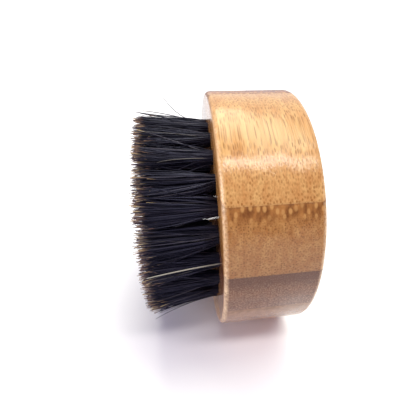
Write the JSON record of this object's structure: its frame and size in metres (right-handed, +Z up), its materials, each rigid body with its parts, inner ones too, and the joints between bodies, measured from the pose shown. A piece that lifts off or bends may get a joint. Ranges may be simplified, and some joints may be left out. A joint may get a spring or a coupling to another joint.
{
  "type": "beard brush",
  "caption": "Round palm brush for a beard: tufts of black boar bristle set in blind holes in a short drum of laminated bamboo.",
  "frame": {"origin": "on the surface that the brush lies on, under the middle of the brush", "axes": "+X along the brush's own axis, from the bristle tips to the flat back; +Z up from the surface it lies on"},
  "size_m": [0.0338, 0.055, 0.055],
  "materials": {
    "lacquered_bamboo": "clear satin lacquer over caramelised laminated bamboo, with fibre dots where the strips are cut across",
    "boar_bristle": "loose black boar bristle with a low sheen, split and brown at the tips",
    "anchor_wire": "flat drawn wire, cut and bent at the bottom of each hole"
  },
  "bodies": {
    "root": {"bamboo_strip_1": "lacquered_bamboo", "bamboo_strip_2": "lacquered_bamboo", "bamboo_strip_3": "lacquered_bamboo", "bamboo_strip_4": "lacquered_bamboo", "bamboo_strip_5": "lacquered_bamboo", "bamboo_strip_6": "lacquered_bamboo", "bamboo_strip_7": "lacquered_bamboo", "tuft_centre": "boar_bristle", "tuft_inner_01": "boar_bristle", "tuft_inner_02": "boar_bristle", "tuft_inner_03": "boar_bristle", "tuft_inner_04": "boar_bristle", "tuft_inner_05": "boar_bristle", "tuft_inner_06": "boar_bristle", "tuft_inner_07": "boar_bristle", "tuft_inner_08": "boar_bristle", "tuft_middle_01": "boar_bristle", "tuft_middle_02": "boar_bristle", "tuft_middle_03": "boar_bristle", "tuft_middle_04": "boar_bristle", "tuft_middle_05": "boar_bristle", "tuft_middle_06": "boar_bristle", "tuft_middle_07": "boar_bristle", "tuft_middle_08": "boar_bristle", "tuft_middle_09": "boar_bristle", "tuft_middle_10": "boar_bristle", "tuft_middle_11": "boar_bristle", "tuft_middle_12": "boar_bristle", "tuft_middle_13": "boar_bristle", "tuft_middle_14": "boar_bristle", "tuft_middle_15": "boar_bristle", "tuft_middle_16": "boar_bristle", "tuft_outer_01": "boar_bristle", "tuft_outer_02": "boar_bristle", "tuft_outer_03": "boar_bristle", "tuft_outer_04": "boar_bristle", "tuft_outer_05": "boar_bristle", "tuft_outer_06": "boar_bristle", "tuft_outer_07": "boar_bristle", "tuft_outer_08": "boar_bristle", "tuft_outer_09": "boar_bristle", "tuft_outer_10": "boar_bristle", "tuft_outer_11": "boar_bristle", "tuft_outer_12": "boar_bristle", "tuft_outer_13": "boar_bristle", "tuft_outer_14": "boar_bristle", "tuft_outer_15": "boar_bristle", "tuft_outer_16": "boar_bristle", "tuft_outer_17": "boar_bristle", "tuft_outer_18": "boar_bristle", "tuft_outer_19": "boar_bristle", "tuft_outer_20": "boar_bristle", "tuft_outer_21": "boar_bristle", "tuft_outer_22": "boar_bristle", "tuft_outer_23": "boar_bristle", "tuft_outer_24": "boar_bristle"}
  },
  "joints": []
}
